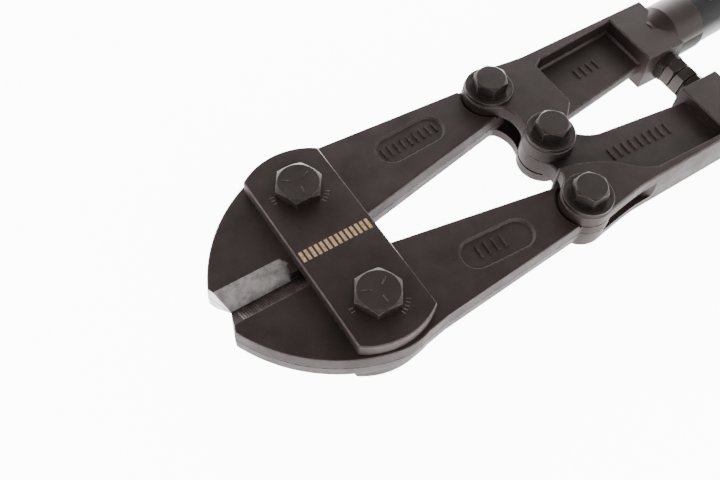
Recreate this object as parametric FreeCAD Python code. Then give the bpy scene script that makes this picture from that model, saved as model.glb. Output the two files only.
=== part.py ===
import FreeCAD, Part
import math
import os

# A pair of long-handled centre-cut bolt cutters, closed, lying on its lower bolts and grips.
# The head is drawn with its origin at the centre of the link plates and its mid-plane at z = 0:
# +X runs back along the handles, +Y to the left-hand side, +Z up.
# place() then moves every piece so that the origin is under the middle of the whole tool.

# ---- driving dimensions, millimetres ----
OVERALL_LENGTH = 1050.0
NOSE_REACH = 69.0            # plate centre to the front corners of the jaws' faces
NOSE_PARTING = 0.5           # how much further forward the nose stands at its parting line
BOLT_SPREAD = 38.75          # jaw bolt to the centre-line
TAIL_X = 134.67              # tail pin, behind the plate centre
TAIL_Y = 45.3                # tail pin to the centre-line
PIVOT_X = 144.8              # centre pivot, behind the plate centre

JAW_HALF = 8.4               # half the jaw's thickness
PLATE_LOW = 8.6              # mid-plane to the near face of a link plate
PLATE_HIGH = 17.44           # mid-plane to the outer face of a link plate
PLATE_HALF_WIDTH = 23.45
PLATE_CORNER_Y = 57.7
PLATE_END_Y = 65.25
PLATE_CHAMFER = 0.6

CHEEK_TOP = 14.0             # mid-plane to the upper face of a handle head
CHEEK_BOTTOM = 13.2          # mid-plane to its lower face
TONGUE_HALF = 6.0            # half the jaw's eye, and half the tongue at the centre pivot
SLOT_HALF = 6.2              # half the slots that take them
WEB_HALF = 4.0               # half the thin web of the left-hand head

JAW_GAP = 0.1                # cutting edge to the centre-line when closed
BEVEL_WIDTH = 11.0
BEVEL_REARS = {"left": -28.0, "right": -19.0}    # where each jaw's bevels run out
TOOTH_FRONT_X = -61.5        # fine grooves across the right-hand jaw's upper bevel
TOOTH_PITCH = 1.35
TOOTH_COUNT = 30
EDGE_LAND = 0.3              # half the flat left on the cutting edge
FORGING_DRAFT = 0.45         # how far a side wall stands out at its parting line
PARTING_GROOVE = 0.35
PARTING_HALF = 0.3
EDGE_ROUND = 0.9
HEAD_DRAFT = 0.4             # how far a handle head's walls stand out at the mid-plane
HEAD_EASE = 0.8
WEB_DRAFT = 0.3
WEB_EASE = 0.8
FOOT = 1.4                   # sloping foot where the sunk web meets its walls

EYE_RADIUS = 15.1            # round end of a jaw's tail, and of the cheeks over it
EYE_STEP_RADIUS = 17.3       # where the jaw steps down to its thinner eye
PIVOT_EYE_RADIUS = 15.0      # round end of the cheeks and tongue at the centre pivot
SLOT_EYE_CLEARANCE = 1.3
WAIST_RELIEF_RADIUS = 17.0   # hollow between the left-hand head's cheeks, beside its waist
PIVOT_DRIFT = 5.9            # the most that the centre pin moves across its open hole
SHAFT_CLEARANCE = 0.05
SEAT_CLEARANCE = 0.02

JAW_BOLT_RADIUS = 8.0
JAW_BOLT_FLATS = 24.0
JAW_BOLT_HEAD = 6.5
JAW_NUT_HEIGHT = 13.0
JAW_WASHER_RADIUS = 15.0
JAW_WASHER_HEIGHT = 2.4

PIN_RADIUS = 6.0
PIN_FLATS = 18.0
PIN_HEAD = 7.6
PIN_NUT_HEIGHT = 4.5
PIN_WASHER_RADIUS = 14.45
PIN_WASHER_HEIGHT = 2.2
THREAD_END = 1.2             # bolt left standing out of its nut

POCKET_FRONT_X = 171.2       # front wall of the sunk web
BLOCK_FRONT_X = 235.5        # front wall of the socket block
BLOCK_REAR_X = 264.0
BLOCK_INNER_Y = 13.7
BLOCK_OUTER_Y = 55.2
STOP_X = 253.0               # stop bolt, behind the plate centre
STOP_GAP = 0.3               # stop face to the centre-line
STOP_HEAD = 6.9
STOP_NUT_HEIGHT = 6.0
STOP_DEPTH = 22.0

HANDLE_SPLAY = 2.2           # degrees that each closed handle leans outwards
HANDLE_START_X = 252.0
HANDLE_START_Y = 34.6
BARREL_RADIUS = 18.6
BARREL_LENGTH = 36.0
SPIGOT_LENGTH = 62.0
TUBE_RADIUS = 17.5
TUBE_WALL = 3.0
RIVET_RADIUS = 4.0
RIVET_PLACES = (54.0, 80.0)  # from the handle's start, along it
GRIP_LENGTH = 190.0
GRIP_RADIUS = 21.5
GRIP_GUARD_RADIUS = 26.0
GRIP_END_WALL = 5.0
GRIP_END_ROUND = 5.0
GRIP_RINGS = 9               # shallow grooves round the grip
GRIP_RING_START = 42.0       # from the grip's front end
GRIP_RING_PITCH = 14.0
GRIP_RING_WIDTH = 4.0
GRIP_RING_DEPTH = 1.0

LOWEST = PLATE_HIGH + JAW_WASHER_HEIGHT + JAW_NUT_HEIGHT + THREAD_END
SHIFT = FreeCAD.Vector(NOSE_REACH - OVERALL_LENGTH / 2, 0, LOWEST)
Z_AXIS = FreeCAD.Vector(0, 0, 1)


# ---- helpers ----
def vec(x, y, z=0.0):
    return FreeCAD.Vector(x, y, z)


def outline(start, *steps):
    """A flat face from a start point and steps: (point) is a line, (through, end) is an arc."""
    edges = []
    here = vec(*start)
    for step in steps:
        end = vec(*step[-1])
        if len(step) == 1:
            edges.append(Part.makeLine(here, end))
        else:
            edges.append(Part.Arc(here, vec(*step[0]), end).toShape())
        here = end
    return Part.Face(Part.Wire(edges))


def tangent_arc(start, angle, end):
    """The step for an arc that leaves start at an angle below +X and runs to end."""
    normal = vec(math.sin(angle), math.cos(angle))
    chord = vec(*end) - vec(*start)
    radius = chord.dot(chord) / (2 * normal.dot(chord))
    centre = vec(*start) + normal * radius
    outward = (vec(*start) + chord * 0.5 - centre).normalize()
    through = centre + outward * abs(radius)
    return ((through.x, through.y), end)


def slab(face, low, high):
    """The face drawn out from one height to another."""
    lifted = face.copy()
    lifted.translate(vec(0, 0, low))
    return lifted.extrude(vec(0, 0, high - low))


def cylinder(radius, centre, low, high):
    return Part.makeCylinder(radius, high - low, vec(centre[0], centre[1], low))


def box(x_range, y_range, z_range):
    size = [high - low for low, high in (x_range, y_range, z_range)]
    return Part.makeBox(*size, vec(x_range[0], y_range[0], z_range[0]))


def hexagon(flats, height, turn):
    """A hexagonal prism on z = 0, with one corner turned from +X."""
    corners = []
    for side in range(7):
        angle = math.radians(turn + 60 * side)
        radius = flats / math.sqrt(3)
        corners.append(vec(radius * math.cos(angle), radius * math.sin(angle)))
    return Part.Face(Part.makePolygon(corners)).extrude(vec(0, 0, height))


def chamfered_hexagon(flats, height, turn, chamfer_low=False):
    """A hexagonal prism whose corners are turned down by a cone, as on a forged bolt head."""
    prism = hexagon(flats, height, turn)
    reach = flats
    slope = math.tan(math.radians(30))
    top_radius = 0.475 * flats
    cone_height = (reach - top_radius) * slope
    cone = Part.makeCone(reach, top_radius, cone_height, vec(0, 0, height - cone_height))
    shape = prism.common(cone.fuse(Part.makeCylinder(reach, height, vec(0, 0, -cone_height))))
    if chamfer_low:
        lower = Part.makeCone(top_radius, reach, cone_height)
        upper = Part.makeCylinder(reach, height, vec(0, 0, cone_height))
        shape = shape.common(lower.fuse(upper))
    return shape


def edges_at_height(shape, height, skip=None):
    """Edges that lie flat at one height, apart from those that skip() names."""
    found = []
    for edge in shape.Edges:
        box_of_edge = edge.BoundBox
        flat = abs(box_of_edge.ZMin - height) < 1e-4 and abs(box_of_edge.ZMax - height) < 1e-4
        if flat and not (skip and skip(box_of_edge)):
            found.append(edge)
    return found


def upright_edge(shape, x, y):
    """The upright edge nearest to a place on the plan."""
    best = None
    best_distance = 1e9
    for edge in shape.Edges:
        bounds = edge.BoundBox
        if bounds.ZLength < 1 or bounds.XLength > 1e-3 or bounds.YLength > 1e-3:
            continue
        distance = math.hypot(bounds.XMin - x, bounds.YMin - y)
        if distance < best_distance:
            best = edge
            best_distance = distance
    return best


def forged(face, half_height):
    """A forging with drafted side walls and a shallow groove along its parting line."""
    wide = face.makeOffset2D(FORGING_DRAFT, 2)
    narrow = face.makeOffset2D(FORGING_DRAFT - PARTING_GROOVE, 2)
    body = slab(narrow, -PARTING_HALF, PARTING_HALF)
    for side in (1, -1):
        base = wide.OuterWire.copy()
        base.translate(vec(0, 0, side * PARTING_HALF))
        crown = face.OuterWire.copy()
        crown.translate(vec(0, 0, side * half_height))
        body = body.fuse(Part.makeLoft([base, crown], True, True))
    return body.removeSplitter()


def drafted(face, top, bottom, draft, ease):
    """A forged slab: walls drafted both ways from the mid-plane, rims eased off at 45 degrees."""
    levels = []
    for end in (top, -bottom):
        shoulder = math.copysign(abs(end) - ease, end)
        levels.append(((draft, 0.0), (0.0, shoulder)))
        levels.append(((0.0, shoulder), (-ease, end)))
    body = None
    for layer in levels:
        wires = []
        for growth, height in layer:
            wire = (face.makeOffset2D(growth, 2) if growth else face).OuterWire.copy()
            wire.translate(vec(0, 0, height))
            wires.append(wire)
        loft = Part.makeLoft(wires, True, True)
        body = body.fuse(loft) if body else loft
    return body.removeSplitter()


def mirrored(shape):
    return shape.mirror(vec(0, 0, 0), vec(0, 1, 0))


def place(shape):
    moved = shape.copy()
    moved.translate(SHIFT)
    return moved


def save(name, *solids):
    """Write one node: a single solid, or several identical ones side by side."""
    shape = solids[0] if len(solids) == 1 else Part.makeCompound(list(solids))
    shape = place(shape)
    if not shape.isValid():
        raise ValueError(name + " is not a valid shape")
    shape.exportStep("parts/" + name + ".step")
    print("%-20s solids %d  volume %10.1f mm3" % (name, len(shape.Solids), shape.Volume))


# ---- link plates ----
def link_plate(low, high):
    face = outline(
        (-PLATE_HALF_WIDTH, -PLATE_CORNER_Y),
        ((0, -PLATE_END_Y), (PLATE_HALF_WIDTH, -PLATE_CORNER_Y)),
        ((PLATE_HALF_WIDTH, PLATE_CORNER_Y),),
        ((0, PLATE_END_Y), (-PLATE_HALF_WIDTH, PLATE_CORNER_Y)),
        ((-PLATE_HALF_WIDTH, -PLATE_CORNER_Y),))
    plate = slab(face, low, high)
    corners = []
    for x in (-PLATE_HALF_WIDTH, PLATE_HALF_WIDTH):
        for y in (-PLATE_CORNER_Y, PLATE_CORNER_Y):
            corners.append(upright_edge(plate, x, y))
    plate = plate.makeFillet(2.0, corners)
    rims = edges_at_height(plate, low) + edges_at_height(plate, high)
    plate = plate.makeChamfer(PLATE_CHAMFER, rims)
    for y in (-BOLT_SPREAD, BOLT_SPREAD):
        plate = plate.cut(cylinder(JAW_BOLT_RADIUS + SEAT_CLEARANCE, (0, y), low - 1, high + 1))
    return plate


# ---- jaws ----
def jaw_outline():
    """Plan of the left-hand jaw: curved nose, straight tapering tail, round eye."""
    front = (-NOSE_REACH, 14.5)
    inner_slope = math.radians(9.9)
    tangent = (TAIL_X + EYE_RADIUS * math.sin(inner_slope), TAIL_Y - EYE_RADIUS * math.cos(inner_slope))
    return outline(
        (-63.4, JAW_GAP),
        (front,),
        ((-42.0, 49.2), (-3.0, 67.05)),
        ((6.5, 67.25), (15.0, 65.3)),
        ((28.4, 63.1),),
        ((123.72, 56.19),),
        ((TAIL_X + EYE_RADIUS, TAIL_Y), tangent),
        ((27.4, 11.0),),
        ((14.0, 6.4), (2.0, JAW_GAP)),
        ((-63.4, JAW_GAP),))


def bevel_cutter(side, rear_x):
    """What is ground off one face of a jaw to make its cutting edge."""
    high = side * (JAW_HALF + 1)
    slope = (JAW_HALF - EDGE_LAND) / BEVEL_WIDTH
    start_y = -2.0
    end_y = BEVEL_WIDTH + 1 / slope
    corners = [
        vec(-80, start_y, side * (EDGE_LAND + start_y * slope)),
        vec(-80, end_y, high),
        vec(-80, start_y, high)]
    prism = Part.Face(Part.makePolygon(corners + corners[:1])).extrude(vec(80, 0, 0))
    plan = outline(
        (-80, -3),
        ((rear_x, -3),),
        ((rear_x, 0),),
        ((rear_x + 1.8, 4.5), (rear_x - 1.5, BEVEL_WIDTH + 0.5)),
        ((rear_x - 3.0, 14),),
        ((-80, 14),),
        ((-80, -3),))
    return prism.common(slab(plan, -20, 20))


def tooth_grooves():
    """Fine V grooves across the upper bevel of one jaw, set out along the cutting edge."""
    depth = 0.4
    half_mouth = 0.45
    angle = math.degrees(math.atan((JAW_HALF - EDGE_LAND) / BEVEL_WIDTH))
    grooves = []
    for index in range(TOOTH_COUNT):
        x = TOOTH_FRONT_X + TOOTH_PITCH * index
        section = [
            vec(x - 2 * half_mouth, 0.9, depth),
            vec(x, 0.9, -depth),
            vec(x + 2 * half_mouth, 0.9, depth)]
        groove = Part.Face(Part.makePolygon(section + section[:1])).extrude(vec(0, 12.0, 0))
        groove.rotate(vec(0, 0, 0), vec(1, 0, 0), angle)
        groove.translate(vec(0, 0, EDGE_LAND))
        grooves.append(groove)
    return Part.makeCompound(grooves)


def pill(centre, length, width, turn, z):
    """A flat round-ended outline."""
    half = (length - width) / 2
    radius = width / 2
    face = outline(
        (-half, -radius, z),
        ((half, -radius, z),),
        ((half + radius, 0, z), (half, radius, z)),
        ((-half, radius, z),),
        ((-half - radius, 0, z), (-half, -radius, z)))
    face.rotate(vec(0, 0, 0), Z_AXIS, turn)
    face.translate(vec(centre[0], centre[1]))
    return face


def name_pocket(turn):
    """A shallow sunk panel in the top face of a jaw's tail."""
    depth = 1.3
    floor = pill((76.0, 41.4), 43.6, 17.2, turn, JAW_HALF - depth)
    mouth = pill((76.0, 41.4), 46.4, 20.0, turn, JAW_HALF + 0.2)
    return Part.makeLoft([floor.OuterWire, mouth.OuterWire], True, True)


def jaw(bevel_rear, grooved, pocket_turn):
    """A jaw drawn on the left-hand side."""
    body = forged(jaw_outline(), JAW_HALF)
    inner_side = box((-90, 10), (-5, JAW_GAP), (-20, 20))
    body = body.cut(inner_side)
    for side in (1, -1):
        rims = edges_at_height(body, side * JAW_HALF, lambda b: b.YMax < 9.0)
        body = body.makeFillet(EDGE_ROUND, rims)
    for side in (1, -1):
        body = body.cut(bevel_cutter(side, bevel_rear))
    for low, high in ((TONGUE_HALF, 20), (-20, -TONGUE_HALF)):
        body = body.cut(cylinder(EYE_STEP_RADIUS, (TAIL_X, TAIL_Y), low, high))
    body = body.cut(name_pocket(pocket_turn))
    if grooved:
        body = body.cut(tooth_grooves())
    for centre, radius in (((0, BOLT_SPREAD), JAW_BOLT_RADIUS), ((TAIL_X, TAIL_Y), PIN_RADIUS)):
        body = body.cut(cylinder(radius + SHAFT_CLEARANCE, centre, -20, 20))
    return body


# ---- handle heads ----
# Both heads share an outer rim and a square socket block behind the sunk web, in this order.
RAIL = (
    ((BLOCK_REAR_X, BLOCK_OUTER_Y),),
    ((BLOCK_REAR_X, BLOCK_INNER_Y),),
    ((BLOCK_FRONT_X, BLOCK_INNER_Y),),
    ((BLOCK_FRONT_X, 51.6),))
EYE_TANGENT = math.radians(10.6)    # slope at which the outer rail leaves the round eye
EYE_START = (TAIL_X + EYE_RADIUS * math.sin(EYE_TANGENT), TAIL_Y + EYE_RADIUS * math.cos(EYE_TANGENT))
WAIST = tangent_arc(EYE_START, EYE_TANGENT, (168.0, 55.8))


def fork_outline():
    """Plan of the thick parts of the left-hand head, which fork over both pivots."""
    return outline(
        EYE_START,
        WAIST,
        *RAIL,
        ((176.5, 48.3),),
        ((POCKET_FRONT_X, 45.2),),
        ((POCKET_FRONT_X, 17.0),),
        ((170.9, 13.6), (168.7, 10.8)),
        ((164.6, 6.8), (159.55, 2.7)),
        ((PIVOT_X, -PIVOT_EYE_RADIUS), (134.2, 10.6)),
        ((136.0, 20.4), (133.25, 28.65)),
        ((132.03, 29.99), (130.41, 30.81)),
        ((TAIL_X - EYE_RADIUS, TAIL_Y), EYE_START))


def leaf_outline():
    """Plan of the thick parts of the right-hand head, mirrored to the left: they fork over the tail pin."""
    return outline(
        EYE_START,
        WAIST,
        *RAIL,
        ((184.0, 50.0),),
        ((175.3, 45.4), (167.5, 37.9)),
        ((151.0, 27.2), (134.4, 21.9)),
        ((132.7, 22.3), (132.6, 24.4)),
        ((130.5, 29.4), (125.83, 33.06)),
        ((TAIL_X - EYE_RADIUS, TAIL_Y), EYE_START))


def tongue_outline():
    """Plan of the right-hand head's tongue and flat web, mirrored to the left."""
    return outline(
        (158.9, -5.1),
        ((164.6, 4.1), (176.0, 10.5)),
        ((BLOCK_FRONT_X + 3, 18.7),),
        ((BLOCK_FRONT_X + 3, 52.0),),
        ((150.0, 48.0),),
        ((131.0, 26.0),),
        ((136.2, 17.5), (134.2, 10.6)),
        ((PIVOT_X - 6.0, -13.75), (158.9, -5.1)))


def web_outline():
    """Plan of the thin web of the left-hand head."""
    return outline(
        (166.0, 10.1),
        ((BLOCK_FRONT_X + 3, 18.9),),
        ((BLOCK_FRONT_X + 3, 52.0),),
        ((166.0, 52.0),),
        ((166.0, 10.1),))


def pocket_feet():
    """Sloping feet round the sunk web's pocket, at its front, outer and rear walls."""
    corners = [
        vec(POCKET_FRONT_X, 15.0, WEB_HALF),
        vec(POCKET_FRONT_X, 45.2, WEB_HALF),
        vec(176.5, 48.3, WEB_HALF),
        vec(BLOCK_FRONT_X, 51.6, WEB_HALF),
        vec(BLOCK_FRONT_X, 19.5, WEB_HALF)]
    strips = []
    for start, end in zip(corners, corners[1:]):
        along = (end - start).normalize()
        inward = vec(along.y, -along.x)
        wall = -inward * 0.5
        foot = inward * FOOT
        profile = [
            start + wall - Z_AXIS,
            start + foot - Z_AXIS,
            start + foot,
            start + Z_AXIS * FOOT,
            start + wall + Z_AXIS * FOOT,
            start + wall - Z_AXIS]
        strips.append(Part.Face(Part.makePolygon(profile)).extrude(end - start))
    return strips


def jaw_slot():
    """The slot for a jaw's tail: all that lies outside a line touching the eye's clearance circle."""
    angle = math.radians(33.7)
    along = vec(math.cos(angle), math.sin(angle))
    inward = vec(math.sin(angle), -math.cos(angle))
    touch = vec(TAIL_X, TAIL_Y) + inward * (EYE_RADIUS + SLOT_EYE_CLEARANCE)
    near = touch - along * 42
    far = touch + along * 60
    corners = [near, far, far - inward * 60, near - inward * 60, near]
    return slab(Part.Face(Part.makePolygon(corners)), -SLOT_HALF, SLOT_HALF)


def tongue_slot():
    """The slot for the other head's tongue, with room for the open pivot's drift."""
    reach = PIVOT_EYE_RADIUS + PIVOT_DRIFT + 0.8
    slot = cylinder(reach, (PIVOT_X, 0), -SLOT_HALF, SLOT_HALF)
    below = box((PIVOT_X - reach, PIVOT_X + reach), (-30, 0), (-SLOT_HALF, SLOT_HALF))
    return slot.fuse(below)


def handle_axis_point(distance):
    splay = math.radians(HANDLE_SPLAY)
    return vec(HANDLE_START_X + distance * math.cos(splay), HANDLE_START_Y + distance * math.sin(splay))


def handle_axis_direction():
    return handle_axis_point(1.0) - handle_axis_point(0.0)


def rod(radius, start, end):
    """A round bar along the handle's axis."""
    return Part.makeCylinder(radius, end - start, handle_axis_point(start), handle_axis_direction())


def socket_barrel():
    """The round end of a head: a shoulder that meets the tube, and the spigot inside it."""
    flare = 14.0
    cone = Part.makeCone(BARREL_RADIUS - 6, BARREL_RADIUS, flare, handle_axis_point(0), handle_axis_direction())
    barrel = rod(BARREL_RADIUS, flare, BARREL_LENGTH)
    lip = Part.makeCone(BARREL_RADIUS, BARREL_RADIUS - 1.2, 1.2, handle_axis_point(BARREL_LENGTH),
                        handle_axis_direction())
    spigot = rod(TUBE_RADIUS - TUBE_WALL - SHAFT_CLEARANCE, 2.0, BARREL_LENGTH + SPIGOT_LENGTH)
    return cone.fuse([barrel, lip, spigot])


def finish_head(thick_face, web, pivot_hole):
    """Round a head's outer edges, join its web and barrel, and cut its slots and holes."""
    body = drafted(thick_face, CHEEK_TOP, CHEEK_BOTTOM, HEAD_DRAFT, HEAD_EASE)
    body = body.fuse([web, socket_barrel()]).cut(jaw_slot())
    body = body.cut(cylinder(PIN_RADIUS + SEAT_CLEARANCE, (TAIL_X, TAIL_Y), -20, 20))
    body = body.cut(pivot_hole)
    body = body.cut([stop_thread(SEAT_CLEARANCE), stop_seat()])
    for distance in RIVET_PLACES:
        body = body.cut(rivet_shank(distance, SEAT_CLEARANCE))
    return body


def left_head():
    relief = cylinder(WAIST_RELIEF_RADIUS, (130.0, 19.0), -SLOT_HALF, SLOT_HALF)
    hole = cylinder(PIN_RADIUS + SEAT_CLEARANCE, (PIVOT_X, 0), -20, 20)
    web = drafted(web_outline(), WEB_HALF, WEB_HALF, WEB_DRAFT, WEB_EASE)
    web = web.fuse([shape for strip in pocket_feet() for shape in (strip, flipped(strip))])
    return finish_head(fork_outline(), web, hole).cut(tongue_slot()).cut(relief)


def right_head():
    """The right-hand head, drawn on the left like all its neighbours: the caller mirrors it."""
    web = drafted(tongue_outline(), TONGUE_HALF, TONGUE_HALF, 0.0, WEB_EASE)
    return finish_head(leaf_outline(), web, open_pivot_hole())


def open_pivot_hole():
    """The slotted hole in the tongue: the centre pin moves along it while the handles swing."""
    radius = PIN_RADIUS + 1.4
    lean = math.radians(69.0)
    end = (PIVOT_X + PIVOT_DRIFT * math.cos(lean), PIVOT_DRIFT * math.sin(lean))
    hole = cylinder(radius, (PIVOT_X, 0), -20, 20).fuse(cylinder(radius, end, -20, 20))
    middle = Part.makeBox(PIVOT_DRIFT, 2 * radius, 40, vec(0, -radius, -20))
    middle.rotate(vec(0, 0, 0), Z_AXIS, math.degrees(lean))
    middle.translate(vec(PIVOT_X, 0))
    return hole.fuse(middle)


# ---- bolts, nuts, washers ----
def bolt(radius, flats, head, turn, seat, end, centre):
    """A hexagon-headed bolt with its head on top of seat and its point at end."""
    cap = chamfered_hexagon(flats, head, turn)
    cap.translate(vec(centre[0], centre[1], seat))
    point = Part.makeCone(radius - 1.0, radius, 1.0, vec(centre[0], centre[1], end))
    return cap.fuse([cylinder(radius, centre, end + 1.0, seat), point]).removeSplitter()


def nut(radius, flats, height, turn, top, centre):
    """A hexagon nut whose upper face is at top."""
    body = chamfered_hexagon(flats, height, turn, True)
    body = body.cut(Part.makeCylinder(radius + SEAT_CLEARANCE, height + 2, vec(0, 0, -1)))
    body.translate(vec(centre[0], centre[1], top - height))
    return body


def washer(inner, outer, height, low, centre, dish=0.0):
    """A washer, with its rim rounded and its face dished a little where asked."""
    ring = Part.makeCylinder(outer, height, vec(0, 0, 0))
    top_rim = edges_at_height(ring, height)
    ring = ring.makeFillet(0.5, top_rim)
    if dish:
        ring = ring.cut(Part.makeCone(outer - 4.0, outer - 1.8, dish, vec(0, 0, height - dish)))
    ring = ring.cut(Part.makeCylinder(inner + SEAT_CLEARANCE, height + 2, vec(0, 0, -1)))
    ring.translate(vec(centre[0], centre[1], low))
    return ring


def flipped(shape):
    return shape.mirror(vec(0, 0, 0), Z_AXIS)


def pin_set(centre, turn):
    """Bolt, thin nut and washer of one handle pivot."""
    washer_top = CHEEK_TOP + PIN_WASHER_HEIGHT
    end = -(CHEEK_BOTTOM + PIN_NUT_HEIGHT + THREAD_END)
    return {
        "bolt": [bolt(PIN_RADIUS, PIN_FLATS, PIN_HEAD, turn, washer_top, end, centre)],
        "nut": [nut(PIN_RADIUS, PIN_FLATS, PIN_NUT_HEIGHT, turn + 13, -CHEEK_BOTTOM, centre)],
        "washer": [washer(PIN_RADIUS, PIN_WASHER_RADIUS, PIN_WASHER_HEIGHT, CHEEK_TOP, centre, 0.5)],
    }


def jaw_bolt_set(side, turn):
    centre = (0, side * BOLT_SPREAD)
    seat = -(PLATE_HIGH + JAW_WASHER_HEIGHT)
    lower = washer(JAW_BOLT_RADIUS, JAW_WASHER_RADIUS, JAW_WASHER_HEIGHT, PLATE_HIGH, centre)
    return {
        "bolt": [bolt(JAW_BOLT_RADIUS, JAW_BOLT_FLATS, JAW_BOLT_HEAD, turn, PLATE_HIGH, -LOWEST, centre)],
        "nut": [nut(JAW_BOLT_RADIUS, JAW_BOLT_FLATS, JAW_NUT_HEIGHT, turn + 8, seat, centre)],
        "washer": [flipped(lower)],
    }


# ---- closing stop ----
def along_minus_y(shape, y):
    """Turn a piece drawn up +Z at the origin to point at the centre-line from y."""
    turned = shape.copy()
    turned.rotate(vec(0, 0, 0), vec(1, 0, 0), 90)
    turned.translate(vec(STOP_X, y, 0))
    return turned


def stop_thread(clearance):
    """The stop bolt's thread, or the hole for it."""
    thread = Part.makeCylinder(PIN_RADIUS - 1 + clearance, STOP_DEPTH + STOP_NUT_HEIGHT + clearance)
    return along_minus_y(thread, BLOCK_INNER_Y + STOP_DEPTH + clearance)


def stop_seat():
    """What is faced off the socket block's drafted wall to seat the stop nut."""
    return along_minus_y(Part.makeCylinder(PIN_FLATS / 2 + 2, 3.0), BLOCK_INNER_Y)


def stop_bolt():
    root_y = STOP_GAP + STOP_HEAD
    head = along_minus_y(chamfered_hexagon(PIN_FLATS, STOP_HEAD, 12), root_y)
    shank = Part.makeCylinder(PIN_RADIUS - 1, BLOCK_INNER_Y + STOP_DEPTH - root_y)
    return head.fuse(along_minus_y(shank, BLOCK_INNER_Y + STOP_DEPTH))


def stop_nut():
    body = chamfered_hexagon(PIN_FLATS, STOP_NUT_HEIGHT, 22, True)
    body = body.cut(Part.makeCylinder(PIN_RADIUS - 1 + SEAT_CLEARANCE, STOP_NUT_HEIGHT + 2, vec(0, 0, -1)))
    return along_minus_y(body, BLOCK_INNER_Y)


# ---- tubes, rivets, grips ----
def grip_end():
    """Distance along the handle's axis to the end of the grip, which sets the overall length."""
    splay = math.radians(HANDLE_SPLAY)
    flat_radius = GRIP_RADIUS - GRIP_END_ROUND
    lean = flat_radius * math.sin(splay) + GRIP_END_ROUND * (1 - math.cos(splay))
    end_x = OVERALL_LENGTH - NOSE_REACH - NOSE_PARTING
    return (end_x - lean - HANDLE_START_X) / math.cos(splay)


def handle_tube():
    start = BARREL_LENGTH + 1.2
    end = grip_end() - GRIP_END_WALL - 0.1
    tube = rod(TUBE_RADIUS, start, end).cut(rod(TUBE_RADIUS - TUBE_WALL, start - 1, end + 1))
    for distance in RIVET_PLACES:
        tube = tube.cut(rivet_shank(distance, SEAT_CLEARANCE))
    return tube


def rivet_shank(distance, clearance):
    centre = handle_axis_point(distance)
    half = TUBE_RADIUS + 1
    return Part.makeCylinder(RIVET_RADIUS + clearance, 2 * half, vec(centre.x, centre.y, -half))


def rivet(distance):
    """A round-headed rivet through the tube and the spigot."""
    centre = handle_axis_point(distance)
    head_radius = 7.0
    dome_radius = 9.0
    seat = TUBE_RADIUS - 0.9
    shape = Part.makeCylinder(RIVET_RADIUS, 2 * seat, vec(centre.x, centre.y, -seat))
    drop = math.sqrt(dome_radius ** 2 - head_radius ** 2)
    for side in (1, -1):
        dome = Part.makeSphere(dome_radius, vec(centre.x, centre.y, side * (seat - drop)))
        low, high = sorted((side * seat, side * (seat + 6)))
        shape = shape.fuse(dome.common(cylinder(head_radius + 1, (centre.x, centre.y), low, high)))
    return shape.cut(rod(TUBE_RADIUS + SEAT_CLEARANCE, distance - 12, distance + 12).cut(
        rivet_shank(distance, 0)))


def grip():
    """A moulded sleeve closed at its end, with a guard ring and shallow grip rings."""
    end = grip_end()
    start = end - GRIP_LENGTH
    body = rod(GRIP_RADIUS, start, end)
    end_rim = max((edge for edge in body.Edges if edge.Closed), key=lambda edge: edge.CenterOfMass.x)
    body = body.makeFillet(GRIP_END_ROUND, [end_rim])
    guard = rod(GRIP_GUARD_RADIUS, start, start + 7.0)
    guard = guard.makeFillet(2.0, [edge for edge in guard.Edges if len(edge.Vertexes) == 1])
    swell = Part.makeCone(GRIP_RADIUS + 2.5, GRIP_RADIUS, 16.0, handle_axis_point(start + 7.0),
                          handle_axis_direction())
    body = body.fuse([guard, swell])
    for ring in range(GRIP_RINGS):
        low = start + GRIP_RING_START + ring * GRIP_RING_PITCH
        high = low + GRIP_RING_WIDTH
        core = rod(GRIP_RADIUS - GRIP_RING_DEPTH, low - 1, high + 1)
        body = body.cut(rod(GRIP_RADIUS + 3, low, high).cut(core))
    return body.cut(rod(TUBE_RADIUS + SHAFT_CLEARANCE, start - 1, end - GRIP_END_WALL))


# ---- the whole tool ----
os.makedirs("parts", exist_ok=True)
save("top_plate", link_plate(PLATE_LOW, PLATE_HIGH))
save("bottom_plate", flipped(link_plate(PLATE_LOW, PLATE_HIGH)))
save("jaw_left", jaw(BEVEL_REARS["left"], False, 2.6))
save("jaw_right", mirrored(jaw(BEVEL_REARS["right"], True, 3.1)))
save("handle_head_left", left_head())
save("handle_head_right", mirrored(right_head()))

# Degrees from +X to one corner of each hexagon.
JAW_BOLT_TURNS = {"left": 54.6, "right": 56.8}
PIN_TURNS = {"tail_left": 7.0, "centre": 20.0, "tail_right": 1.0}
for side_name, side in (("left", 1), ("right", -1)):
    for name, solids in jaw_bolt_set(side, JAW_BOLT_TURNS[side_name]).items():
        save("jaw_" + name + "_" + side_name, *solids)
    for name, solids in pin_set((TAIL_X, side * TAIL_Y), PIN_TURNS["tail_" + side_name]).items():
        save("tail_" + name + "_" + side_name, *solids)
    pieces = {
        "stop_bolt": [stop_bolt()],
        "stop_nut": [stop_nut()],
        "handle_tube": [handle_tube()],
        "tube_rivets": [rivet(distance) for distance in RIVET_PLACES],
        "grip": [grip()],
    }
    for name, solids in pieces.items():
        if side < 0:
            solids = [mirrored(solid) for solid in solids]
        save(name + "_" + side_name, *solids)
for name, solids in pin_set((PIVOT_X, 0), PIN_TURNS["centre"]).items():
    save("centre_" + name, *solids)
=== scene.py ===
import bpy
import math
from mathutils import Matrix, Vector


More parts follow.
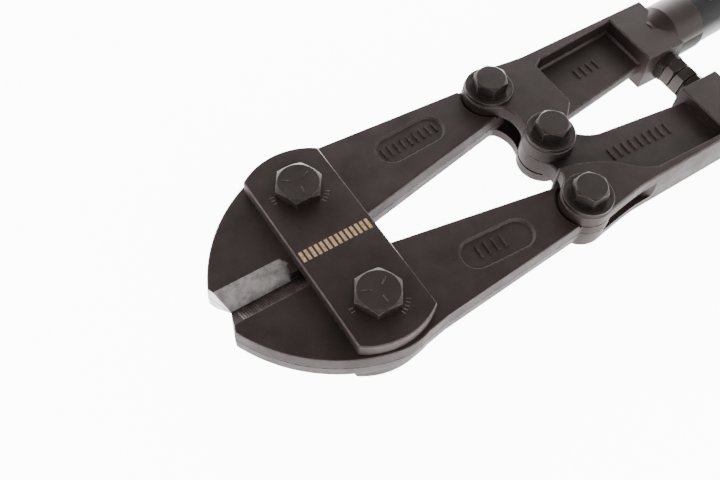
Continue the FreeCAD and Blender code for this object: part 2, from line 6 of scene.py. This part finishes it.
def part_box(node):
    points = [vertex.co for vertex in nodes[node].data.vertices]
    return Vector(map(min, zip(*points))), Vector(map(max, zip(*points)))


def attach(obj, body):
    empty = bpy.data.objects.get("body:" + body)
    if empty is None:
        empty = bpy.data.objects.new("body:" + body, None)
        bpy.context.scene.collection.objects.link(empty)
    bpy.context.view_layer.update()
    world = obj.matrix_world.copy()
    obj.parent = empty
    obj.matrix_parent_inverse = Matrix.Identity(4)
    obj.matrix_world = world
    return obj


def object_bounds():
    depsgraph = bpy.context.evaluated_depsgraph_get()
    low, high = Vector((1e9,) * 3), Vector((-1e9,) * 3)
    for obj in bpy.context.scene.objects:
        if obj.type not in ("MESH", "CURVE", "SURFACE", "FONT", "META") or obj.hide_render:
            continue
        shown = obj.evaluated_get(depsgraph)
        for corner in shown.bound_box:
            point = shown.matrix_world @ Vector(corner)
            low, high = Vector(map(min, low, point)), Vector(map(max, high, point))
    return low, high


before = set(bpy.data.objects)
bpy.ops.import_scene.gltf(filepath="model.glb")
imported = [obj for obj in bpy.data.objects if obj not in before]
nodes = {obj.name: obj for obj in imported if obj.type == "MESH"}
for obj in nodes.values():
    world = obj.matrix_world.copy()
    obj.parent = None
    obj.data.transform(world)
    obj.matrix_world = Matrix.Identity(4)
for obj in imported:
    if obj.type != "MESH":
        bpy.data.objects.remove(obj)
cad_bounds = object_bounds()


# ---- places taken from the frame, in metres ----
def centre_of(node):
    low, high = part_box(node)
    return (low + high) / 2


PLATE = centre_of("top_plate")
PLATE_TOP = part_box("top_plate")[1].z
MID_Z = centre_of("jaw_left").z
FLOOR_Z = cad_bounds[0][2]
JAW_BOLTS = {side: centre_of("jaw_bolt_" + side) for side in ("left", "right")}
JAW_BOLT_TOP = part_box("jaw_bolt_left")[1].z
MM = 0.001


def head(x, y, z=0.0):
    """A place on the head, given in millimetres from the plate centre and the mid-plane."""
    return Vector((PLATE.x, 0, MID_Z)) + Vector((x, y, z)) * MM


# ---- camera ----
CAMERA_FROM_PLATE = Vector((-0.14973, -0.21707, 0.41380))   # from the top plate's centre
AIM_FROM_PLATE = Vector((0.01046, -0.00598, 0.0))           # what it looks at
CAMERA_ROLL = 4.99                                          # degrees
LENS = 47.1                                                 # millimetres, on a 36 mm sensor


def add_camera():
    origin = Vector((PLATE.x, 0, PLATE_TOP))
    data = bpy.data.cameras.new("camera")
    data.lens = LENS
    data.sensor_width = 36.0
    data.clip_start = 0.01
    data.clip_end = 20.0
    camera = bpy.data.objects.new("camera", data)
    bpy.context.scene.collection.objects.link(camera)
    place = origin + CAMERA_FROM_PLATE
    look = (origin + AIM_FROM_PLATE - place).to_track_quat("-Z", "Y").to_matrix()
    roll = Matrix.Rotation(math.radians(CAMERA_ROLL), 3, "Z")
    camera.matrix_world = Matrix.Translation(place) @ (look @ roll).to_4x4()
    bpy.context.scene.camera = camera


# ---- floor and light ----
FLOOR_GLOW = 11.0            # the white table is lit until it is nearly burnt out
HORIZON_LIGHT = 5.2          # soft light from low down
SHADED_SIDE = 0.35           # part of it that comes from the near side
LIT_SIDE = 1.25              # and from the far side
LIT_DIRECTION = (0.57, 0.82, 0.0)
CEILING_LIGHT = 0.27         # the dark ceiling that the level faces reflect
CEILING_STARTS = 0.36        # sine of the height where the light begins to fall away
CEILING_ENDS = 0.74


def add_floor():
    size = 30.0
    mesh = bpy.data.meshes.new("floor")
    corners = [(-size, -size, 0), (size, -size, 0), (size, size, 0), (-size, size, 0)]
    mesh.from_pydata(corners, [], [(0, 1, 2, 3)])
    floor = bpy.data.objects.new("floor", mesh)
    floor.location = (0, 0, FLOOR_Z - 0.0002)
    bpy.context.scene.collection.objects.link(floor)
    material = bpy.data.materials.new("floor_paper")
    material.use_nodes = True
    shader = material.node_tree.nodes["Principled BSDF"]
    shader.inputs["Base Color"].default_value = (0.9, 0.9, 0.9, 1)
    shader.inputs["Roughness"].default_value = 0.9
    shader.inputs["Emission Color"].default_value = (1, 1, 1, 1)
    shader.inputs["Emission Strength"].default_value = FLOOR_GLOW
    mesh.materials.append(material)


def add_area_light(name, place, target, size, power):
    data = bpy.data.lights.new(name, "AREA")
    data.shape = "RECTANGLE"
    data.size, data.size_y = size
    data.energy = power
    light = bpy.data.objects.new(name, data)
    bpy.context.scene.collection.objects.link(light)
    light.location = place
    light.rotation_euler = (Vector(target) - Vector(place)).to_track_quat("-Z", "Y").to_euler()


def add_world():
    """Pale walls, paler on one side, and a darker ceiling, as a plain gradient of direction."""
    world = bpy.data.worlds.new("studio")
    world.use_nodes = True
    tree = world.node_tree
    coords = tree.nodes.new("ShaderNodeTexCoord")
    split = tree.nodes.new("ShaderNodeSeparateXYZ")
    fade = tree.nodes.new("ShaderNodeMapRange")
    fade.interpolation_type = "SMOOTHSTEP"
    fade.inputs["From Min"].default_value = CEILING_STARTS
    fade.inputs["From Max"].default_value = CEILING_ENDS
    fade.inputs["To Min"].default_value = HORIZON_LIGHT
    fade.inputs["To Max"].default_value = CEILING_LIGHT
    toward = tree.nodes.new("ShaderNodeVectorMath")
    toward.operation = "DOT_PRODUCT"
    toward.inputs[1].default_value = LIT_DIRECTION
    sides = tree.nodes.new("ShaderNodeMapRange")
    sides.inputs["From Min"].default_value = -1.0
    sides.inputs["To Min"].default_value = SHADED_SIDE
    sides.inputs["To Max"].default_value = LIT_SIDE
    strength = tree.nodes.new("ShaderNodeMath")
    strength.operation = "MULTIPLY"
    background = tree.nodes["Background"]
    background.inputs["Color"].default_value = (1, 0.985, 0.97, 1)
    tree.links.new(coords.outputs["Generated"], split.inputs[0])
    tree.links.new(split.outputs["Z"], fade.inputs["Value"])
    tree.links.new(coords.outputs["Generated"], toward.inputs[0])
    tree.links.new(toward.outputs["Value"], sides.inputs["Value"])
    tree.links.new(fade.outputs["Result"], strength.inputs[0])
    tree.links.new(sides.outputs["Result"], strength.inputs[1])
    tree.links.new(strength.outputs["Value"], background.inputs["Strength"])
    bpy.context.scene.world = world


def add_lights():
    aim = (PLATE.x + 0.1, 0, 0.03)
    add_area_light("front_box", (PLATE.x - 0.2, -1.5, 0.9), aim, (2.0, 0.9), 16)
    add_area_light("back_strip", (PLATE.x + 0.9, 1.7, 0.7), aim, (1.8, 0.4), 8)


add_camera()
add_floor()
add_world()
add_lights()


# ---- materials ----
class Nodes:
    """A material's node tree, with short calls for the nodes used here."""

    def __init__(self, name):
        self.material = bpy.data.materials.new(name)
        self.material.use_nodes = True
        self.tree = self.material.node_tree
        self.shader = self.tree.nodes["Principled BSDF"]
        self.place = self.add("ShaderNodeTexCoord").outputs["Object"]

    def add(self, kind, **settings):
        node = self.tree.nodes.new(kind)
        for name, value in settings.items():
            setattr(node, name, value)
        return node

    def link(self, source, target):
        self.tree.links.new(source, target)

    def stretched(self, scale, turn=(0, 0, 0)):
        """Object space turned and stretched, for grain that runs one way."""
        mapping = self.add("ShaderNodeMapping")
        mapping.inputs["Rotation"].default_value = turn
        mapping.inputs["Scale"].default_value = scale
        self.link(self.place, mapping.inputs["Vector"])
        return mapping.outputs["Vector"]

    def noise(self, scale, detail=4.0, roughness=0.55, vector=None):
        node = self.add("ShaderNodeTexNoise")
        node.inputs["Scale"].default_value = scale
        node.inputs["Detail"].default_value = detail
        node.inputs["Roughness"].default_value = roughness
        self.link(vector or self.place, node.inputs["Vector"])
        return node.outputs["Fac"]

    def remap(self, value, low, high, new_low=0.0, new_high=1.0):
        node = self.add("ShaderNodeMapRange")
        node.inputs["From Min"].default_value = low
        node.inputs["From Max"].default_value = high
        node.inputs["To Min"].default_value = new_low
        node.inputs["To Max"].default_value = new_high
        self.link(value, node.inputs["Value"])
        return node.outputs["Result"]

    def multiply(self, first, second):
        node = self.add("ShaderNodeMath", operation="MULTIPLY")
        for socket, value in zip(node.inputs, (first, second)):
            if isinstance(value, float):
                socket.default_value = value
            else:
                self.link(value, socket)
        return node.outputs["Value"]

    def mix_colours(self, factor, first, second):
        """Blend two colours; each is a colour or another node's output."""
        node = self.add("ShaderNodeMix", data_type="RGBA")
        self.link(factor, node.inputs["Factor"])
        for index, value in ((6, first), (7, second)):
            if isinstance(value, tuple):
                node.inputs[index].default_value = (*value, 1)
            else:
                self.link(value, node.inputs[index])
        return node.outputs[2]

    def bump(self, layers):
        """Stack bumps; each layer is (height, strength, depth in metres)."""
        normal = None
        for height, strength, depth in layers:
            node = self.add("ShaderNodeBump")
            node.inputs["Strength"].default_value = strength
            node.inputs["Distance"].default_value = depth
            self.link(height, node.inputs["Height"])
            if normal:
                self.link(normal, node.inputs["Normal"])
            normal = node.outputs["Normal"]
        self.link(normal, self.shader.inputs["Normal"])

    def worn_and_highlit_edges(self, radius):
        """About 1 on sharp outer edges and 0 on flat faces, broken up by noise."""
        rounded = self.add("ShaderNodeBevel", samples=4)
        rounded.inputs["Radius"].default_value = radius
        geometry = self.add("ShaderNodeNewGeometry")
        agree = self.add("ShaderNodeVectorMath", operation="DOT_PRODUCT")
        self.link(rounded.outputs["Normal"], agree.inputs[0])
        self.link(geometry.outputs["Normal"], agree.inputs[1])
        edge = self.remap(agree.outputs["Value"], 0.995, 0.90)
        return self.multiply(edge, self.remap(self.noise(260.0, 3.0), 0.38, 0.62))


def oxide_steel(name, dark, light, roughness, grain=None, edge_radius=0.0005, lumps=0.35, metallic=0.2,
                specular=0.25, rub_and_highlight=0.55):
    """Black-oxide or phosphated steel: blotchy tint, fine grain, rubbed edges that double as a painted
    highlight along the edges, a few scuffs.
    """
    nodes_of = Nodes(name)
    shader = nodes_of.shader
    blotches = nodes_of.remap(nodes_of.noise(38.0, 5.0, 0.6), 0.3, 0.7)
    tint = nodes_of.mix_colours(blotches, dark, light)
    speckle = nodes_of.remap(nodes_of.noise(900.0, 2.0), 0.60, 0.75, 0.0, 0.45)
    tint = nodes_of.mix_colours(speckle, tint, tuple(1.7 * channel for channel in light))
    # outer edges lightened six-fold: partly rubbed wear, partly a painted highlight along the edges
    edges = nodes_of.worn_and_highlit_edges(edge_radius)
    rubbed_and_highlit = nodes_of.multiply(edges, rub_and_highlight)
    tint = nodes_of.mix_colours(rubbed_and_highlit, tint, tuple(6.0 * channel for channel in light))
    streaks = nodes_of.noise(1.0, 6.0, 0.7, nodes_of.stretched((26.0, 900.0, 900.0), (0, 0, 0.5)))
    scuffs = nodes_of.multiply(
        nodes_of.remap(streaks, 0.66, 0.74), nodes_of.remap(nodes_of.noise(22.0, 2.0), 0.55, 0.7))
    faint = nodes_of.multiply(scuffs, 0.5)
    tint = nodes_of.mix_colours(faint, tint, tuple(2.6 * channel for channel in light))
    nodes_of.link(tint, shader.inputs["Base Color"])
    low, high = roughness
    uneven = nodes_of.noise(70.0, 6.0, 0.65)
    nodes_of.link(nodes_of.remap(uneven, 0.3, 0.7, low, high), shader.inputs["Roughness"])
    shader.inputs["Metallic"].default_value = metallic
    shader.inputs["Specular IOR Level"].default_value = specular
    layers = [(nodes_of.noise(120.0, 4.0), lumps, 0.00025), (nodes_of.noise(1500.0, 3.0), 0.35, 0.00004)]
    if grain:
        layers.append((nodes_of.noise(1.0, 4.0, 0.6, nodes_of.stretched(grain)), 0.30, 0.00003))
    nodes_of.bump(layers)
    return nodes_of.material


def ground_steel(name):
    """The bare ground bevel: pale, mottled, with fine marks across it and small dark spots."""
    nodes_of = Nodes(name)
    shader = nodes_of.shader
    mottle = nodes_of.remap(nodes_of.noise(210.0, 5.0, 0.65), 0.35, 0.68)
    tint = nodes_of.mix_colours(mottle, (0.245, 0.230, 0.225), (0.130, 0.120, 0.117))
    spots = nodes_of.remap(nodes_of.noise(520.0, 3.0, 0.6), 0.63, 0.72, 0.0, 0.7)
    tint = nodes_of.mix_colours(spots, tint, (0.050, 0.043, 0.041))
    nodes_of.link(tint, shader.inputs["Base Color"])
    uneven = nodes_of.noise(160.0, 4.0)
    nodes_of.link(nodes_of.remap(uneven, 0.3, 0.7, 0.38, 0.58), shader.inputs["Roughness"])
    shader.inputs["Metallic"].default_value = 1.0
    across = nodes_of.noise(1.0, 5.0, 0.6, nodes_of.stretched((2600.0, 120.0, 120.0)))
    nodes_of.bump([(across, 0.35, 0.00004), (nodes_of.noise(300.0, 4.0), 0.4, 0.00008)])
    return nodes_of.material


def dull_surface(name, dark, light, roughness, grain_size, grain_depth):
    """Paint or rubber: an even tint with slow variation and a fine texture."""
    nodes_of = Nodes(name)
    shader = nodes_of.shader
    blotches = nodes_of.remap(nodes_of.noise(30.0, 5.0, 0.6), 0.3, 0.7)
    tint = nodes_of.mix_colours(blotches, dark, light)
    dust = nodes_of.remap(nodes_of.noise(420.0, 3.0), 0.62, 0.76, 0.0, 0.35)
    tint = nodes_of.mix_colours(dust, tint, tuple(2.2 * channel for channel in light))
    nodes_of.link(tint, shader.inputs["Base Color"])
    low, high = roughness
    nodes_of.link(nodes_of.remap(nodes_of.noise(55.0, 5.0), 0.3, 0.7, low, high), shader.inputs["Roughness"])
    shader.inputs["Specular IOR Level"].default_value = 0.15
    nodes_of.bump([
        (nodes_of.noise(grain_size, 3.0), 0.5, grain_depth),
        (nodes_of.noise(90.0, 3.0), 0.2, 0.0002)])
    return nodes_of.material


def dress(node, material):
    mesh = nodes[node].data
    mesh.materials.clear()
    mesh.materials.append(material)


FORGED = oxide_steel("forged_oxide", (0.0185, 0.0122, 0.0114), (0.0325, 0.0222, 0.0208), (0.35, 0.50))
# near-black oxide for the parting groove: painted shade inside the groove
PARTING_SHADE = oxide_steel("parting_line", (0.0035, 0.0030, 0.0029), (0.0060, 0.0050, 0.0048), (0.60, 0.75),
                      metallic=0.0, specular=0.02, rub_and_highlight=0.0)
PLATED = oxide_steel("plate_oxide", (0.0180, 0.0117, 0.0108), (0.0300, 0.0202, 0.0188), (0.33, 0.46),
                     grain=(900.0, 40.0, 900.0), lumps=0.15)
# fasteners get the strongest edge lightening: wear and a painted highlight on the head edges
FASTENER = oxide_steel("fastener_oxide", (0.0205, 0.0150, 0.0138), (0.0300, 0.0225, 0.0208), (0.30, 0.44),
                       edge_radius=0.0006, lumps=0.12, rub_and_highlight=0.9)
# rougher copies of the oxide for upright walls; their darker tint is painted shade on the walls and hex
# sides
SHADED_FLANK = oxide_steel("forged_flank", (0.0115, 0.0080, 0.0077), (0.0195, 0.0142, 0.0136), (0.50, 0.66),
                    edge_radius=0.0007, metallic=0.06, specular=0.05)
SHADED_FASTENER_FLANK = oxide_steel(
    "fastener_flank", (0.0062, 0.0046, 0.0043), (0.0105, 0.0080, 0.0075), (0.45, 0.60),
    edge_radius=0.0005, lumps=0.12, metallic=0.04, specular=0.05, rub_and_highlight=0.9)
GROUND = ground_steel("ground_bevel")
TUBE = dull_surface(
    "tube_paint", (0.011, 0.011, 0.0115), (0.017, 0.0165, 0.0165), (0.36, 0.48), 700.0, 0.00003)
RIVET = oxide_steel("rivet_zinc", (0.16, 0.155, 0.15), (0.22, 0.215, 0.205), (0.30, 0.45), lumps=0.12,
                    metallic=1.0)
RUBBER = dull_surface(
    "grip_rubber", (0.010, 0.010, 0.0105), (0.017, 0.0165, 0.0165), (0.62, 0.78), 1100.0, 0.00008)

def material_for(node):
    if node.startswith("handle_head") or node in ("jaw_left", "jaw_right"):
        return FORGED
    if node.endswith("_plate"):
        return PLATED
    if node.startswith("tube_rivets"):
        return RIVET
    if node.startswith("handle_tube"):
        return TUBE
    if node.startswith("grip"):
        return RUBBER
    return FASTENER


def dull_and_shade_flanks(node, material):
    """Give a piece's upright walls a rougher oxide, with a darker tint that is painted shade on the walls.
    """
    mesh = nodes[node].data
    mesh.materials.append(material)
    for polygon in mesh.polygons:
        if abs(polygon.normal.z) < 0.3:
            polygon.material_index = 1


for node in nodes:
    dress(node, material_for(node))
    if material_for(node) in (FORGED, PLATED):
        dull_and_shade_flanks(node, SHADED_FLANK)
    elif material_for(node) == FASTENER:
        dull_and_shade_flanks(node, SHADED_FASTENER_FLANK)


def grind_bevels(node, side):
    """Give a jaw's two ground bevels, which lean towards the cutting edge, and its nose the bare steel."""
    mesh = nodes[node].data
    mesh.materials.append(GROUND)
    slot = len(mesh.materials) - 1
    lean = 0.593
    for polygon in mesh.polygons:
        normal = polygon.normal
        on_bevel = abs(normal.y * side + lean) < 0.02 and abs(normal.x) < 0.02
        on_nose = normal.x < -0.85 and normal.y * side < -0.2
        if on_bevel or on_nose:
            polygon.material_index = slot


grind_bevels("jaw_left", 1)


PARTING_HALF = 0.00031       # a little over half the groove's width


def darken_parting_line(node):
    """Paint the shallow groove round a jaw's mid-plane near-black, as painted shade in the groove."""
    mesh = nodes[node].data
    mesh.materials.append(PARTING_SHADE)
    slot = len(mesh.materials) - 1
    level = MID_Z - nodes[node].matrix_world.translation.z
    for polygon in mesh.polygons:
        if abs(polygon.center.z - level) < PARTING_HALF and abs(polygon.normal.z) < 0.9:
            polygon.material_index = slot


for jaw_node in ("jaw_left", "jaw_right"):
    darken_parting_line(jaw_node)


# ---- raised and etched marks ----
def slabs(name, body, material, pieces):
    """Small flat blocks with sloping sides in one piece: (centre, length, width, height, turn)."""
    corners = []
    faces = []
    for centre, length, width, height, turn in pieces:
        draft = min(0.35 * height, 0.25 * width)
        first = len(corners)
        for inset, level in ((0.0, 0.0), (draft, height)):
            for sign_x, sign_y in ((-1, -1), (1, -1), (1, 1), (-1, 1)):
                x = sign_x * (length / 2 - inset)
                y = sign_y * (width / 2 - inset)
                cosine, sine = math.cos(turn), math.sin(turn)
                corner = Vector((x * cosine - y * sine, x * sine + y * cosine, level))
                corners.append(centre + corner * MM)
        faces.append([first + index for index in (3, 2, 1, 0)])
        faces.append([first + index for index in (4, 5, 6, 7)])
        for index in range(4):
            after = (index + 1) % 4
            faces.append([first + index, first + after, first + after + 4, first + index + 4])
    mesh = bpy.data.meshes.new(name)
    mesh.from_pydata([tuple(corner) for corner in corners], [], faces)
    mesh.materials.append(material)
    piece = bpy.data.objects.new(name, mesh)
    bpy.context.scene.collection.objects.link(piece)
    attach(piece, body)
    return piece


def tally(centre, count, pitch, width, length, height, lean):
    """A row of equal upright bars, standing in for raised lettering."""
    along = Vector((math.cos(lean), math.sin(lean), 0))
    pieces = []
    for index in range(count):
        shift = pitch * (index - (count - 1) / 2)
        pieces.append((centre + along * shift * MM, width, length, height, lean))
    return pieces


POCKET_FLOOR = 7.1           # millimetres above the mid-plane
LEFT_WEB_TOP = 4.0
RIGHT_WEB_TOP = 6.0
slabs("pocket_marks_left", "left_jaw", FORGED,
      tally(head(75.5, 41.3, POCKET_FLOOR), 9, 4.5, 1.3, 7.2, 0.8, math.radians(2.6)))
slabs("pocket_marks_right", "right_jaw", FORGED,
      tally(head(72.5, -40.6, POCKET_FLOOR), 4, 5.2, 1.5, 8.2, 0.8, math.radians(-3.1)))
slabs("web_marks_left", "left_handle", FORGED,
      tally(head(203.5, 33.2, LEFT_WEB_TOP), 4, 5.2, 1.5, 7.4, 0.8, math.radians(2.0)))
slabs("web_marks_right", "right_handle", FORGED,
      tally(head(192.0, -27.6, RIGHT_WEB_TOP), 9, 5.2, 1.5, 8.2, 0.8, math.radians(-3.0)))


def gilt():
    """Pale gold etching with worn, darker flecks."""
    nodes_of = Nodes("gilt_mark")
    shader = nodes_of.shader
    worn = nodes_of.remap(nodes_of.noise(620.0, 4.0, 0.65), 0.42, 0.66)
    tint = nodes_of.mix_colours(worn, (0.40, 0.265, 0.150), (0.19, 0.115, 0.052))
    nodes_of.link(tint, shader.inputs["Base Color"])
    uneven = nodes_of.noise(300.0, 3.0)
    nodes_of.link(nodes_of.remap(uneven, 0.3, 0.7, 0.45, 0.62), shader.inputs["Roughness"])
    shader.inputs["Metallic"].default_value = 0.25
    nodes_of.bump([(nodes_of.noise(900.0, 3.0), 0.4, 0.00003)])
    return nodes_of.material


GILT = gilt()
MARK_HEIGHT = 0.04


def plate_mark():
    """A plain row of upright gilt bars across the middle of the top plate."""
    centre = head(-0.3, 0.6, (PLATE_TOP - MID_Z) / MM)
    return slabs("plate_mark", "link_plates", GILT, tally(centre, 14, 3.1, 1.9, 6.6, MARK_HEIGHT, 0.0))


plate_mark()


def bolt_marks(side, turn):
    """The three radial lines that show a bolt's strength grade, on a jaw bolt's head."""
    centre = Vector((JAW_BOLTS[side].x, JAW_BOLTS[side].y, JAW_BOLT_TOP))
    pieces = []
    for index in range(3):
        angle = turn + math.radians(120 * index)
        out = Vector((math.cos(angle), math.sin(angle), 0))
        pieces.append((centre + out * 6.2 * MM, 5.2, 0.8, 0.25, angle))
    return slabs("bolt_marks_" + side, "link_plates", FASTENER, pieces)


bolt_marks("left", math.radians(24))
bolt_marks("right", math.radians(32))


def punch_ticks(side, angles):
    """Short struck marks on the plate, pointing at a jaw bolt."""
    centre = Vector((JAW_BOLTS[side].x, JAW_BOLTS[side].y, PLATE_TOP))
    pieces = []
    for angle in angles:
        turn = math.radians(angle)
        out = Vector((math.cos(turn), math.sin(turn), 0))
        pieces.append((centre + out * 15.6 * MM, 2.4, 0.35, 0.03, turn))
    return slabs("punch_ticks_" + side, "link_plates", GROUND, pieces)


punch_ticks("left", (172, 180, 188, 300, 308, 316, 324))
punch_ticks("right", (176, 184, 292, 300, 308, 316, 324))
